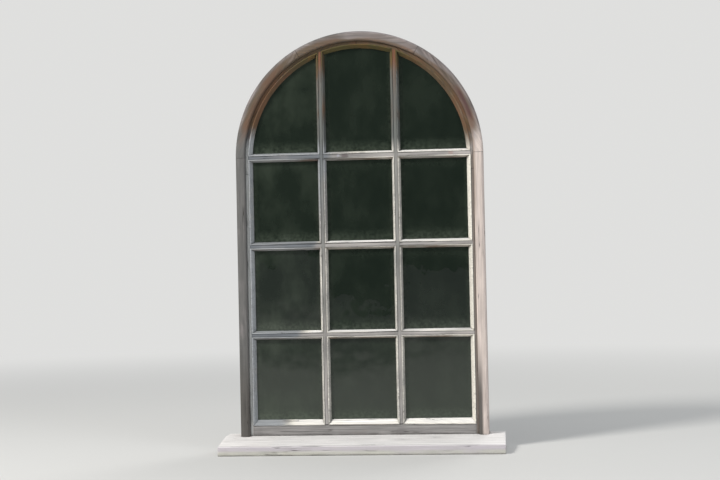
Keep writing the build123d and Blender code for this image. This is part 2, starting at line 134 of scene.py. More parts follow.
# Where a zone starts and where it is full: heights
SILL_EDGE_RISE = (0.036, 0.031)
LOW_EDGE_TINT_RISE = (0.022, 0.010)
RAIL_RISE = (sight_z + 0.004, sight_z - 0.004)
FOOT_RISE = (0.42, 0.18)
UPRIGHT_RISE = (0.36, 0.56)
INNER_EDGE_RISE = (0.75, 0.95)
BLUR_RISE = (0.8, arch_z)
SHELTER_RISE = (arch_z + 0.01, arch_z + 0.17)
UNDER_ARCH_RISE = (arch_z + 0.01, arch_z + 0.07)
FRAME_CROWN_RISE = (arch_z + 0.26, arch_z + 0.36)
BEAD_CROWN_RISE = (arch_z + 0.30, arch_z + 0.39)

# Where a zone starts and where it is full: distances out
ARCH_OPENING = (right_sight - 0.015, right_sight)
ARCH_BANDS = (frame_r, right_sight)
UNDER_ARCH_REACH = (right_sight, 0.92 * right_sight)
NEAR_ARCH_REACH = (0.74 * right_sight, 0.98 * right_sight)
UPRIGHT_REACH = (0.98 * right_sight, 0.82 * right_sight)
CORNER_BAND = (beads_r, beads_r + 0.005)
INNER_EDGE_BAND = (nib_r + 0.013, nib_r + 0.001)
FOOT_BAND = (nib_r + 0.020, nib_r + 0.009)
RIM_BAND = (nib_r + 0.030, nib_r + 0.018)
WALL_BAND = (frame_r + 0.006, frame_r - 0.006)

# The streak's middle, and how far to each side it starts and is full
STREAK_MIDDLE = nib_r + 0.008
STREAK_BAND = (0.015, 0.007)

# At the crown the frame's greyer rim reaches this much further in
CROWN_SHIFT = 0.014

# Where a zone starts and where it is full: across the window, and from outdoors to indoors
RIGHT_PART = (0.1, 0.3)
RIGHT_SASH = (0.75 * right_sight, right_sight)
RIGHT_OF_CENTRE = (0.0, 0.1)
RIGHT_CORNER = (-0.1, 0.1)
LEFT_CORNER = (0.1, -0.1)
LEFT_PART = (0.0, -0.3)
CROWN_PART = (-0.2, 0.0)
SUNNY_BEADS = (-0.35, -0.25)
INDOORS = (glass_y - 0.003, glass_y + 0.004)

# Colours of the timber: pale, dull, bleached that also stands in for painted sunlight, and damp that also
# stands in for painted shade
SILL_TONES = (
    (0.80, 0.77, 0.77, 1),
    (0.61, 0.58, 0.60, 1),
    (0.92, 0.89, 0.86, 1),
    (0.86, 0.83, 0.80, 1),
)
FRAME_TONES = (
    (0.36, 0.32, 0.32, 1),
    (0.22, 0.20, 0.20, 1),
    (0.78, 0.67, 0.61, 1),
    (0.112, 0.113, 0.109, 1),
)
SASH_TONES = (
    (0.36, 0.35, 0.34, 1),
    (0.24, 0.23, 0.225, 1),
    (0.45, 0.42, 0.40, 1),
    (0.150, 0.168, 0.190, 1),
)
BEAD_TONES = (
    (0.50, 0.49, 0.46, 1),
    (0.34, 0.33, 0.32, 1),
    (0.92, 0.88, 0.78, 1),
    (0.36, 0.38, 0.40, 1),
)
BROWN = (0.145, 0.096, 0.050, 1)
RUST = (0.19, 0.084, 0.042, 1)
# Painted highlight on sunlit tops
PAINTED_TOP_LIGHT = (0.86, 0.845, 0.84, 1)
LATE_WOOD = (0.10, 0.10, 0.10, 1)
DARK_FIBRE = (0.06, 0.06, 0.06, 1)
CRACK = (0.02, 0.016, 0.012, 1)
# Grime and painted shade in the hollows
HOLLOW_GRIME_AND_SHADE = (0.03, 0.026, 0.02, 1)

# Colours of the stains on it, and of the painted shade and light
# Painted shade under the arch
ARCH_PAINTED_SHADE = (0.116, 0.127, 0.120, 1)
# Painted shade on the sill's front
SILL_FRONT_PAINTED_SHADE = (0.46, 0.42, 0.475, 1)
# Pale greenish cream of the sill's lowest edge
LOW_EDGE_TINT = (0.65, 0.645, 0.57, 1)
OLIVE_CAST = (0.82, 1.0, 0.56)
STREAK = (0.100, 0.036, 0.036, 1)
STREAK_PLACE = (0.397, arch_z + 0.177)
STREAK_SIZE = 0.09
# Painted shade at the jambs' feet
FOOT_PAINTED_SHADE = (0.095, 0.088, 0.080, 1)
INNER_EDGE = (0.26, 0.18, 0.135, 1)
# Painted shade and painted light in the sash's recess
RECESS_PAINTED_SHADE = (0.140, 0.100, 0.076, 1)
RECESS_PAINTED_LIGHT = (0.62, 0.63, 0.61, 1)
# Painted shade on the upper uprights
UPRIGHT_PAINTED_SHADE = (0.15, 0.158, 0.148, 1)

# Marks on the upper cross bars: x, z, size, colour and strength
BAR_MARKS = (
    (-0.052, arch_z - 0.001, 0.017, (0.12, 0.10, 0.10, 1), 0.8),
    (-0.076, arch_z + 0.001, 0.007, (0.45, 0.47, 0.54, 1), 0.5),
    (0.340, arch_z + 0.002, 0.013, (0.40, 0.25, 0.21, 1), 0.45),
)

# Glass and steel: colours, where the dirt and the painted reflection lie, the waves, and the scales of the
# noises
# Painted darkness of the room behind the glass
GLASS_PAINTED_DARK_ROOM = (0.006, 0.010, 0.007, 1)
# Dust and painted reflection on the glass
GLASS_DIRT_AND_REFLECTION = (0.060, 0.075, 0.055, 1)
FOOT_DIRT_HEIGHT = 0.05
SIDE_DIRT_WIDTH = 0.02
HEAD_DIRT_RISE = (arch_z, arch_z - 0.01)
LOW_REFLECTION_RISE = (arch_z * 0.6, 0.0)
REFLECTION_SPREAD = (0.1, -frame_r)
PANE_TILT = 0.03
WAVE_DEPTH = 0.002
WAVE_SCALE = 8
RIPPLE_SCALE = 30
SPECK_SCALE = 90
HAZE_SCALE = 11
STEEL = (0.42, 0.38, 0.32, 1)
STEEL_RUST = (0.20, 0.12, 0.07, 1)
RUST_SCALE = 700


# Grain: every board carries its own coordinates, x and y across it and z along it


def curved_board(points):
    """True for a bead that is bent round the arch, whose grain follows the bend."""
    x, z = points[:, 0], points[:, 2] - arch_z
    r = np.hypot(x, z)
    turn = np.arctan2(z, x)
    return np.ptp(r) < BENT_WIDTH and np.ptp(turn) > BENT_TURN and z.min() > -SPRINGING_SLACK


def board_axes(points):
    """The middle of a board, and its own axes from the thinnest to the longest."""
    centre = (points.min(0) + points.max(0)) / 2
    centred = points - centre
    return centre, np.linalg.eigh(centred.T @ centred)[1]


def board_coordinates(points, rng):
    """Coordinates across and along one board, shifted so that no two boards are cut alike."""
    if curved_board(points):
        x, z = points[:, 0], points[:, 2] - arch_z
        r = np.hypot(x, z)
        grain = np.stack([r, points[:, 1], np.arctan2(z, x) * frame_r], axis=1)
    else:
        centre, axes = board_axes(points)
        grain = (points - centre) @ axes
    return grain + rng.uniform(PITH_NEAR, PITH_FAR)


def islands(bm):
    """The separate solids of a mesh, as lists of vertices, in the mesh's own order."""
    seen = set()
    for start in bm.verts:
        if start in seen:
            continue
        seen.add(start)
        found, waiting = [start], [start]
        while waiting:
            vert = waiting.pop()
            for link in vert.link_edges:
                other = link.other_vert(vert)
                if other not in seen:
                    seen.add(other)
                    found.append(other)
                    waiting.append(other)
        yield found


# Weathered timber meshes


def is_arris(edge):
    """A long, sharp, outward edge, away from the joints' small steps."""
    if len(edge.link_faces) != 2 or edge.calc_length() < ARRIS_LENGTH:
        return False
    if not edge.is_convex or edge.calc_face_angle() < ARRIS_ANGLE:
        return False
    return all(face.calc_area() / edge.calc_length() > STEP_WIDTH for face in edge.link_faces)


def ease_arrises(bm, ease):
    """Merge the flat faces and round the arrises."""
    bmesh.ops.remove_doubles(bm, verts=bm.verts, dist=WELD)
    bmesh.ops.dissolve_limit(bm, angle_limit=FLAT_ANGLE, verts=bm.verts, edges=bm.edges)
    arrises = [edge for edge in bm.edges if is_arris(edge)]
    bmesh.ops.bevel(
        bm, geom=arrises, offset=ease, segments=2, profile=0.5, affect="EDGES", clamp_overlap=False
    )


def slice_board(bm, verts):
    """Cut one board across in short steps, so that its arrises can wear unevenly."""
    points = np.array([v.co for v in verts])
    centre, axes = board_axes(points)
    along = axes[:, 2]
    reach = (points - centre) @ along
    geometry = verts
    for cut in np.arange(reach.min() + SLICE, reach.max() - SLICE / 2, SLICE):
        faces = dict.fromkeys(f for v in geometry for f in v.link_faces)
        edges = dict.fromkeys(e for v in geometry for e in v.link_edges)
        result = bmesh.ops.bisect_plane(
            bm,
            geom=geometry + list(edges) + list(faces),
            dist=1e-6,
            plane_co=centre + along * cut,
            plane_no=along,
        )
        kept = [v for v in geometry if v.is_valid]
        kept += [g for g in result["geom_cut"] if isinstance(g, bmesh.types.BMVert)]
        geometry = list(dict.fromkeys(kept))


def lay_grain(bm, node):
    """Keep each board's own coordinates and tone on its vertices, drawn from the node's name."""
    rng = np.random.default_rng(sum(ord(letter) * (n + 1) for n, letter in enumerate(node)))
    grain = bm.verts.layers.float_vector.new("grain")
    tone = bm.verts.layers.float.new("tone")
    for verts in islands(bm):
        points = np.array([v.co for v in verts])
        coordinates = board_coordinates(points, rng)
        board_tone = rng.uniform(-1, 1)
        for vert, place in zip(verts, coordinates):
            vert[grain] = place
            vert[tone] = board_tone


def wear_arrises(bm):
    """Take a little off the sharp places, more here and less there."""
    for vert in bm.verts:
        bite = max(0.0, noise.noise(vert.co / WEAR_SIZE)) * WEAR_DEPTH
        if vert.calc_shell_factor() > SHARP_SHELL:
            vert.co -= vert.normal * bite


def weathered_mesh(node, ease):
    """A node's own form with eased, worn arrises, and its boards' grain kept on the mesh."""
    bm = bmesh.new()
    bm.from_mesh(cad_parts[node].data)
    ease_arrises(bm, ease)
    for verts in list(islands(bm)):
        slice_board(bm, verts)
    bm.normal_update()
    lay_grain(bm, node)
    wear_arrises(bm)
    mesh = bpy.data.meshes.new(node + "_weathered")
    bm.to_mesh(mesh)
    bm.free()
    mesh.shade_smooth()
    mesh.set_sharp_from_angle(angle=SMOOTH_ANGLE)
    return mesh


def dress(node, ease, material, slot):
    """Stand a weathered piece in for a timber node."""
    piece = bpy.data.objects.new(node + "_weathered", weathered_mesh(node, ease))
    bpy.context.scene.collection.objects.link(piece)
    piece.data.materials.append(material)
    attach(piece, "root")
    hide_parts(node)


# Material building


def shade(colour, share):
    """A colour made darker."""
    return tuple(c * share for c in colour[:3]) + (1,)


class Tree:
    """Short hands for building a material's nodes."""

    def __init__(self, name):
        self.material = bpy.data.materials.new(name)
        self.material.use_nodes = True
        self.nodes = self.material.node_tree.nodes
        self.links = self.material.node_tree.links
        self.shader = self.nodes["Principled BSDF"]

    def node(self, kind, inputs=None, **settings):
        made = self.nodes.new(kind)
        for key, value in settings.items():
            setattr(made, key, value)
        for key, value in (inputs or {}).items():
            self.feed(made.inputs[key], value)
        return made

    def feed(self, socket, value):
        if isinstance(value, bpy.types.NodeSocket):
            self.links.new(value, socket)
        else:
            socket.default_value = value

    def math(self, operation, a, b=0.0, clamp=False):
        made = self.node("ShaderNodeMath", operation=operation, use_clamp=clamp)
        self.feed(made.inputs[0], a)
        self.feed(made.inputs[1], b)
        return made.outputs[0]

    def plus(self, a, b):
        return self.math("ADD", a, b)

    def minus(self, a, b):
        return self.math("SUBTRACT", a, b)

    def times(self, a, b):
        return self.math("MULTIPLY", a, b)

    def larger(self, a, b):
        return self.math("MAXIMUM", a, b)

    def absolute(self, a):
        return self.math("ABSOLUTE", a)

    def ramp(self, value, low, high, to_low=0.0, to_high=1.0):
        """A smooth step of a value from low to high."""
        made = self.node(
            "ShaderNodeMapRange",
            {"Value": value, "From Min": low, "From Max": high, "To Min": to_low, "To Max": to_high},
            interpolation_type="SMOOTHSTEP",
        )
        return made.outputs["Result"]

    def mix(self, factor, a, b):
        made = self.node("ShaderNodeMix", data_type="RGBA", blend_type="MIX")
        self.feed(made.inputs["Factor"], factor)
        self.feed(made.inputs[6], a)
        self.feed(made.inputs[7], b)
        return made.outputs[2]

    def vector(self, operation, inputs):
        return self.node("ShaderNodeVectorMath", inputs, operation=operation)

    def stretch(self, vector, scale):
        return self.vector("MULTIPLY", {0: vector, 1: scale}).outputs[0]

    def dimmed(self, colour, share):
        return self.stretch(colour, (share,) * 3)

    def noise(self, vector, scale, detail=3.0, roughness=0.5):
        settings = {"Vector": vector, "Scale": scale, "Detail": detail, "Roughness": roughness}
        return self.node("ShaderNodeTexNoise", settings).outputs["Fac"]

    def world_place(self):
        """The place in the world, as every piece stands at the origin: the vector, and its x, y and z."""
        place = self.node("ShaderNodeTexCoord").outputs["Object"]
        return place, *self.node("ShaderNodeSeparateXYZ", {"Vector": place}).outputs


# Weathered timber


class Timber(Tree):
    """Bare timber: silvery where the weather reaches it, brown where it is sheltered or indoors.

    The lower right is bleached with painted sunlight; the left is damp and dark with a painted cast
    shadow.
    """

    def __init__(self, name):
        super().__init__(name)
        self.place, self.x, self.y, self.z = self.world_place()
        self.lay_figure()
        self.find_zones()
        self.find_weather()

    def figure(self, drawn_out, scale, detail, roughness):
        """Noise over a board's own coordinates."""
        return self.noise(self.stretch(self.grain, (1, 1, drawn_out)), scale, detail, roughness)

    def lay_figure(self):
        """The wood's own figure, along each board's grain, its cracks, and a slow drift over all."""
        self.grain = self.node("ShaderNodeAttribute", attribute_name="grain").outputs["Vector"]
        self.fibre = self.figure(*FIBRE)
        self.streak = self.figure(*STREAKS)
        self.band = self.figure(*BANDS)
        self.rings = self.node(
            "ShaderNodeTexWave",
            {
                "Vector": self.stretch(self.grain, (1, 1, 0.06)),
                "Scale": WAVE_SIZE / RING_SIZE,
                "Distortion": 5.0,
                "Detail": 2.0,
                "Detail Scale": 0.6,
            },
            wave_type="RINGS",
            rings_direction="Z",
        ).outputs["Fac"]
        self.uneven = self.minus(self.figure(*UNEVENNESS), 0.5)
        self.drift = self.plus(self.minus(self.noise(self.place, *DRIFT), 0.5), self.uneven)
        from_line = self.absolute(self.minus(self.figure(*CRACK_LINES), 0.5))
        cracked = self.ramp(self.figure(*CRACK_PLACES), 0.53, 0.62)
        self.crack = self.times(self.ramp(from_line, 0.012, 0.002), cracked)

    def find_zones(self):
        """Where a place is: how far out, how high in the arch, how it faces, indoors or outdoors.

        The distance out is from the middle line up to the springing, and from the arch's centre above it.
        The arch shelters its inner bands from lower down at the right.
        """
        rise = self.larger(self.minus(self.z, arch_z), 0.0)
        flat = self.node("ShaderNodeCombineXYZ", {"X": self.x, "Z": rise}).outputs[0]
        self.out = self.vector("LENGTH", {0: flat}).outputs["Value"]
        inner = self.ramp(self.out, *ARCH_BANDS, 0.01, 0.06)
        inner = self.times(inner, self.ramp(self.out, *ARCH_OPENING))
        lower = self.times(inner, self.ramp(self.x, *RIGHT_PART))
        self.height = self.ramp(self.plus(self.z, lower), *SHELTER_RISE)
        normal = self.node("ShaderNodeNewGeometry").outputs["Normal"]
        normal_x, _, normal_z = self.node("ShaderNodeSeparateXYZ", {"Vector": normal}).outputs
        self.facing_right = self.ramp(normal_x, 0.2, 0.7)
        self.facing_down = self.ramp(normal_z, -0.2, -0.9)
        self.facing_up = self.ramp(normal_z, 0.15, 0.9)
        within = self.ramp(self.absolute(self.x), *WALL_BAND)
        self.indoors = self.times(self.ramp(self.y, *INDOORS), within)
        self.outdoors = self.minus(1.0, self.indoors)

    def find_weather(self):
        """Painted sunlight to the right of a slanting line, damp with a painted cast shadow to the left of
        it, and painted shade under the arch.
        """
        slanted = self.minus(self.x, self.times(self.z, SUN_SLANT))
        blur = self.ramp(self.z, *BLUR_RISE, SUN_BLUR, 4 * SUN_BLUR)
        painted_sun_side = self.ramp(slanted, SUN_EDGE - SUN_BLUR, self.plus(blur, SUN_EDGE))
        # Painted sunlight, stronger on tops and at the right of the sash, weaker high in the arch
        bleach_and_painted_sun = self.times(painted_sun_side, self.plus(self.times(self.facing_up, 0.6), 0.6))
        bleach_and_painted_sun = self.plus(bleach_and_painted_sun, self.ramp(self.x, *RIGHT_SASH, 0.0, 0.5))
        bleach_and_painted_sun = self.minus(bleach_and_painted_sun, self.times(self.height, 0.8))
        self.bleach_and_painted_sun = self.plus(bleach_and_painted_sun, self.times(self.drift, 0.7))
        # Painted cast shadow to the left of the slanting line, made patchy
        damp_and_painted_shadow = self.ramp(slanted, SUN_EDGE + 0.5 * SUN_BLUR, SUN_EDGE - SUN_BLUR)
        damp_and_painted_shadow = self.plus(damp_and_painted_shadow, self.times(self.drift, 1.2))
        self.damp_and_painted_shadow = self.minus(damp_and_painted_shadow, self.times(self.height, 0.4))
        # Painted shade under the arch, over the inner parts
        over = self.ramp(self.z, *UNDER_ARCH_RISE)
        self.arch_painted_shade = self.times(over, self.ramp(self.out, *UNDER_ARCH_REACH, 0.0, 0.9))

    def silver(self, pale, dull, bleached_sunlit, damp_shade, sunny, rail):
        """The weathered grey from its four tones, with painted sunlight, painted shadow and painted shade
        laid over it.
        """
        # Painted shade on the bottom rail: duller and less sunlit
        rail_painted_shade = self.ramp(self.z, *RAIL_RISE, 0.0, rail)
        bleach_and_painted_sun = self.minus(self.plus(self.bleach_and_painted_sun, sunny), rail_painted_shade)
        damp_and_painted_shadow = self.ramp(self.minus(self.minus(self.damp_and_painted_shadow, sunny), rail_painted_shade), 0.3, 1.0, 0.0, 0.9)
        colour = self.mix(self.ramp(self.streak, 0.3, 0.7), dull, pale)
        colour = self.mix(self.ramp(self.band, 0.45, 0.7, 0.0, 0.5), colour, shade(dull, 0.8))
        colour = self.mix(self.times(rail_painted_shade, 0.6), colour, dull)
        colour = self.mix(self.ramp(bleach_and_painted_sun, 0.25, 1.0, 0.0, 0.85), colour, bleached_sunlit)
        colour = self.mix(damp_and_painted_shadow, colour, damp_shade)
        # Tops in the painted shadow are painted darker still
        colour = self.mix(self.times(damp_and_painted_shadow, self.facing_up), colour, shade(damp_shade, 0.72))
        # Painted highlight on tops in the painted sunlight
        sunlit_tops = self.times(self.facing_up, self.ramp(bleach_and_painted_sun, 0.7, 1.2, 0.0, 0.8))
        colour = self.mix(sunlit_tops, colour, PAINTED_TOP_LIGHT)
        return self.mix(self.arch_painted_shade, colour, ARCH_PAINTED_SHADE)

    def sill_edge(self, colour):
        """Painted shade in lavender over the lower half of the sill's front, and a pale greenish cream on
        its lowest edge.
        """
        # Painted shade on the sill's front
        edge = self.ramp(self.z, *SILL_EDGE_RISE, 0.0, 0.75)
        edge = self.times(edge, self.ramp(self.streak, 0.2, 0.6, 0.5))
        colour = self.mix(edge, colour, SILL_FRONT_PAINTED_SHADE)
        # Pale greenish cream along the lowest edge
        low_edge_tint = self.ramp(self.z, *LOW_EDGE_TINT_RISE, 0.0, 0.9)
        low_edge_tint = self.times(low_edge_tint, self.ramp(self.uneven, -0.25, 0.05, 0.3))
        return self.mix(low_edge_tint, colour, LOW_EDGE_TINT)

    def browned(self, colour, warm, shelter_gain, brown_gain, rim):
        """Brown wood under the arch, least along the frame's outer rim, and all over indoors."""
        side = self.ramp(self.x, -frame_r, frame_r, 1.0, 0.8)
        near_arch = self.ramp(self.out, *NEAR_ARCH_REACH, 0.3, 1.0)
        shelter = self.times(self.times(self.height, side), self.times(near_arch, shelter_gain))
        shelter = self.plus(shelter, self.times(self.facing_down, 0.5))
        shelter = self.minus(shelter, self.times(self.facing_up, 0.7))
        shelter = self.plus(shelter, self.times(self.uneven, 1.4))
        brown = self.times(self.ramp(shelter, 0.15, 0.95), brown_gain)
        crown = self.times(self.ramp(self.z, *FRAME_CROWN_RISE), self.ramp(self.x, *CROWN_PART))
        shifted = self.plus(self.out, self.times(crown, CROWN_SHIFT))
        brown = self.times(brown, self.ramp(shifted, *RIM_BAND, 1.0 - rim, 1.0))
        brown = self.larger(brown, self.indoors)
        warm = self.mix(self.indoors, warm, BROWN)
        wood = self.mix(self.ramp(self.rings, 0.2, 0.9), warm, self.dimmed(warm, 0.6))
        wood = self.blot(wood, self.ramp(self.drift, -0.05, 0.2, 0.0, 0.6), RUST)
        return self.mix(brown, colour, wood)

    def blot(self, colour, mask, stain):
        """A stain, or a patch of painted shade or light, on the outdoor side only."""
        return self.mix(self.times(mask, self.outdoors), colour, stain)

    def mark(self, colour, x, z, size, stain, strength):
        """A round mark at one place on the face."""
        flat = self.node("ShaderNodeCombineXYZ", {"X": self.x, "Z": self.z}).outputs[0]
        apart = self.vector("DISTANCE", {0: flat, 1: (x, 0, z)}).outputs["Value"]
        reach = self.plus(apart, self.times(self.uneven, size))
        return self.blot(colour, self.ramp(reach, size, 0.4 * size, 0.0, strength), stain)

    def frame_stains_and_shade(self, colour):
        """A red streak on the arch and a tan inner edge at the right, and painted shade at the jambs'
        feet.

        The tan edge starts below the springing. The arch is painted a little darker than the jambs, as
        painted shade.
        """
        band = self.ramp(self.absolute(self.minus(self.out, STREAK_MIDDLE)), *STREAK_BAND)
        streaked = self.mark(colour, *STREAK_PLACE, STREAK_SIZE, STREAK, 0.8)
        colour = self.mix(band, colour, streaked)
        right = self.ramp(self.x, *RIGHT_OF_CENTRE, 0.0, 0.55)
        edge = self.times(self.ramp(self.out, *INNER_EDGE_BAND), right)
        colour = self.blot(colour, self.times(edge, self.ramp(self.z, *INNER_EDGE_RISE)), INNER_EDGE)
        # Painted shade at the jambs' feet, over the left one and along the nib's inner edge
        left = self.ramp(self.x, *LEFT_PART, 0.0, 0.9)
        inner = self.ramp(self.out, *FOOT_BAND, 0.0, 0.95)
        foot = self.times(self.ramp(self.z, *FOOT_RISE), self.larger(left, inner))
        colour = self.blot(colour, foot, FOOT_PAINTED_SHADE)
        # Painted shade over the arch
        return self.mix(self.times(self.height, self.outdoors), colour, self.dimmed(colour, 0.84))

    def sash_marks_and_shade(self, colour):
        """Painted shade in the recess beside the beads at the right, painted light in it at the left, and
        the bars' marks.
        """
        # Painted shade and painted light in the recess beside the beads
        recess = self.ramp(self.out, *CORNER_BAND)
        recess = self.times(recess, self.ramp(self.height, 0.4, 0.0, 0.0, 0.7))
        colour = self.blot(colour, self.times(recess, self.ramp(self.x, *RIGHT_CORNER)), RECESS_PAINTED_SHADE)
        colour = self.blot(colour, self.times(recess, self.ramp(self.x, *LEFT_CORNER)), RECESS_PAINTED_LIGHT)
        for mark in BAR_MARKS:
            colour = self.mark(colour, *mark)
        return colour

    def upright_painted_shade(self, colour):
        """Painted shade on the uprights' noses, greyer from the second row up to where the arch browns
        them.
        """
        # Painted shade on the upper uprights
        upper = self.ramp(self.z, *UPRIGHT_RISE, 0.0, 0.5)
        upper = self.times(upper, self.ramp(self.out, *UPRIGHT_REACH))
        return self.blot(colour, upper, UPRIGHT_PAINTED_SHADE)

    def bead_tint_and_shade(self, colour):
        """The beads at the crown, more olive, and painted shade on the beads' slopes that face right."""
        crown = self.times(self.ramp(self.z, *BEAD_CROWN_RISE), self.outdoors)
        colour = self.mix(crown, colour, self.stretch(colour, OLIVE_CAST))
        # Painted shade on slopes facing right
        shaded_slopes = self.times(self.facing_right, self.ramp(self.x, *SUNNY_BEADS))
        return self.mix(shaded_slopes, colour, self.dimmed(colour, 0.82))

    def seam_lines(self, level, turn):
        """Thin dark lines where the boards of an arched member meet.

        One line crosses both legs at a level; one crosses the arch on each side, turn above the springing.
        """
        off_centre = self.absolute(self.x)
        above = self.minus(self.z, arch_z)
        leg_gap = self.absolute(self.minus(self.z, level))
        leg_gap = self.plus(leg_gap, self.ramp(off_centre, *OFF_THE_LEGS))
        across = self.minus(self.times(off_centre, sin(turn)), self.times(above, cos(turn)))
        arch_gap = self.plus(self.absolute(across), self.ramp(above, *LOW_IN_ARCH))
        return self.ramp(self.math("MINIMUM", leg_gap, arch_gap), *SEAM_WIDTH)

    def finish(self, colour, seams):
        """Fibres, cracks, seams, and grime with painted shade in the hollows over the colour, and the
        relief.
        """
        tone = self.node("ShaderNodeAttribute", attribute_name="tone").outputs["Fac"]
        colour = self.mix(self.ramp(self.rings, 0.3, 1.0, 0.0, 0.25), colour, LATE_WOOD)
        colour = self.mix(self.ramp(self.fibre, 0.62, 0.78, 0.0, 0.5), colour, DARK_FIBRE)
        level = self.plus(self.ramp(self.streak, 0.25, 0.75, 0.86, 1.12), self.times(tone, 0.08))
        colour = self.vector("SCALE", {0: colour, "Scale": level}).outputs[0]
        crack = self.crack
        if seams:
            crack = self.larger(crack, self.times(self.seam_lines(*seams), 0.8))
        colour = self.mix(crack, colour, CRACK)
        # Grime and painted shade in the hollows, darker where occlusion is high
        openness = self.node("ShaderNodeAmbientOcclusion", {"Distance": HOLLOW_REACH}, samples=4)
        hollow_grime_and_shade = self.ramp(openness.outputs["AO"], 0.75, 0.2, 0.0, 0.85)
        colour = self.mix(hollow_grime_and_shade, colour, HOLLOW_GRIME_AND_SHADE)
        self.feed(self.shader.inputs["Base Color"], colour)
        self.feed(self.shader.inputs["Roughness"], self.ramp(self.streak, 0.2, 0.8, 0.72, 0.92))
        self.shader.inputs["Specular IOR Level"].default_value = 0.3
        relief = self.plus(self.times(self.rings, 0.35), self.times(self.fibre, 0.5))
        relief = self.plus(relief, self.times(self.streak, 0.6))
        relief = self.minus(relief, self.times(crack, 1.6))
        bump = self.node("ShaderNodeBump", {"Height": relief, "Strength": 0.8, "Distance": RELIEF_DEPTH})
        self.feed(self.shader.inputs["Normal"], bump.outputs["Normal"])
        return self.material


def timber(
    name, tones, warm, sunny=0.0, rail=0.0, shelter=1.0, brown=1.0, rim=0.0, stains_and_shade=None, seams=None
):
    """One kind of timber: tones are its pale, dull, bleached and damp greys, the last two also painted
    sunlight and painted shade, warm its brown outdoors.
    """
    wood = Timber(name)
    colour = wood.sill_edge(wood.silver(*tones, sunny, rail))
    colour = wood.browned(colour, warm, shelter, brown, rim)
    if stains_and_shade:
        colour = stains_and_shade(wood, colour)
    return wood.finish(colour, seams)


# Glass and steel


def pane_edge(tree, along, first, pitch, last, width, reach):
    """A pane's number in its row or column, and how near a place is to its edges.

    Nearness is 1 on the edge and 0 from reach inwards.
    """
    from_first = tree.minus(along, first)
    number = tree.math("FLOOR", tree.math("DIVIDE", from_first, pitch))
    number = tree.math("MINIMUM", number, last)
    run = tree.minus(from_first, tree.times(number, pitch))
    return number, tree.ramp(run, reach, 0.0), tree.ramp(run, width - reach, width)


def old_glass():
    """Window glass painted opaque dark for the dim room behind, with the slight waves of old panes, grime
    that gathers at their edges, and a lighter painted reflection towards the bottom and the left.
    """
    tree = Tree("old_glass")
    place, x, _, z = tree.world_place()
    wave = tree.noise(place, WAVE_SCALE, 2, 0.4)
    ripple = tree.noise(tree.stretch(place, (1, 1, 0.35)), RIPPLE_SCALE, 2)
    speck = tree.noise(place, SPECK_SCALE, 4, 0.65)
    haze = tree.noise(tree.stretch(place, (1, 1, 0.6)), HAZE_SCALE, 3, 0.6)

    row, foot, head = pane_edge(tree, z, sight_z, pitch_z, LAST_ROW, pane_height, FOOT_DIRT_HEIGHT)
    column, left, right = pane_edge(tree, x, sight_x, pitch_x, LAST_COLUMN, pane_width, SIDE_DIRT_WIDTH)
    edges = tree.larger(tree.times(left, 0.5), tree.times(right, 0.35))
    edges = tree.larger(edges, tree.times(foot, 0.8))
    edges = tree.larger(edges, tree.times(head, tree.ramp(z, *HEAD_DIRT_RISE, 0.0, 0.2)))
    dust_and_reflection = tree.times(edges, tree.ramp(speck, 0.3, 0.7, 0.1, 0.8))
    # Painted reflection: a lighter haze towards the bottom, stronger to the left
    low = tree.ramp(z, *LOW_REFLECTION_RISE, 0.0, 0.3)
    reflection_haze = tree.times(tree.ramp(haze, 0.35, 0.75, 0.1, 0.5), tree.ramp(x, *REFLECTION_SPREAD, 0.3, 0.8))
    dust_and_reflection = tree.math("ADD", dust_and_reflection, tree.plus(reflection_haze, low), clamp=True)
    tree.feed(tree.shader.inputs["Base Color"], tree.mix(dust_and_reflection, GLASS_PAINTED_DARK_ROOM, GLASS_DIRT_AND_REFLECTION))
    tree.feed(tree.shader.inputs["Roughness"], tree.ramp(dust_and_reflection, 0.1, 0.8, 0.02, 0.22))

    relief = tree.plus(wave, tree.times(ripple, 0.2))
    bump = tree.node("ShaderNodeBump", {"Height": relief, "Strength": 0.7, "Distance": WAVE_DEPTH})
    pane = tree.node("ShaderNodeCombineXYZ", {"X": column, "Z": row}).outputs[0]
    tilt = tree.node("ShaderNodeTexWhiteNoise", {"Vector": pane}).outputs["Color"]
    tilt = tree.vector("SUBTRACT", {0: tilt, 1: (0.5,) * 3}).outputs[0]
    tilted = tree.vector("ADD", {0: bump.outputs["Normal"], 1: tree.dimmed(tilt, PANE_TILT)})
    tree.feed(tree.shader.inputs["Normal"], tilted.outputs[0])
    return tree.material


def dull_steel():
    """Plated screws gone dull."""
    tree = Tree("dull_steel")
    place = tree.node("ShaderNodeTexCoord").outputs["Object"]
    stain = tree.noise(place, RUST_SCALE, 3, 0.6)
    colour = tree.mix(tree.ramp(stain, 0.4, 0.7), STEEL, STEEL_RUST)
    tree.feed(tree.shader.inputs["Base Color"], colour)
    tree.shader.inputs["Metallic"].default_value = 1.0
    tree.feed(tree.shader.inputs["Roughness"], tree.ramp(stain, 0.3, 0.7, 0.35, 0.7))
    return tree.material


# The window's pieces and what they are made of

frame_seams = (arch_z, crown_turn)
sash_seams = (sash_head_z, pi / 2)
sill_timber = timber("sill_timber", SILL_TONES, BROWN, sunny=0.9, shelter=0.0)
frame_timber = timber(
    "frame_timber", FRAME_TONES, BROWN, brown=0.85, rim=0.65, stains_and_shade=Timber.frame_stains_and_shade, seams=frame_seams
)
sash_timber = timber(
    "sash_timber", SASH_TONES, BROWN, rail=1.0, shelter=1.25, stains_and_shade=Timber.sash_marks_and_shade, seams=sash_seams
)
upright_timber = timber("upright_timber", SASH_TONES, RUST, shelter=1.25, stains_and_shade=Timber.upright_painted_shade)
bead_timber = timber("bead_timber", BEAD_TONES, BROWN, shelter=1.2, stains_and_shade=Timber.bead_tint_and_shade)

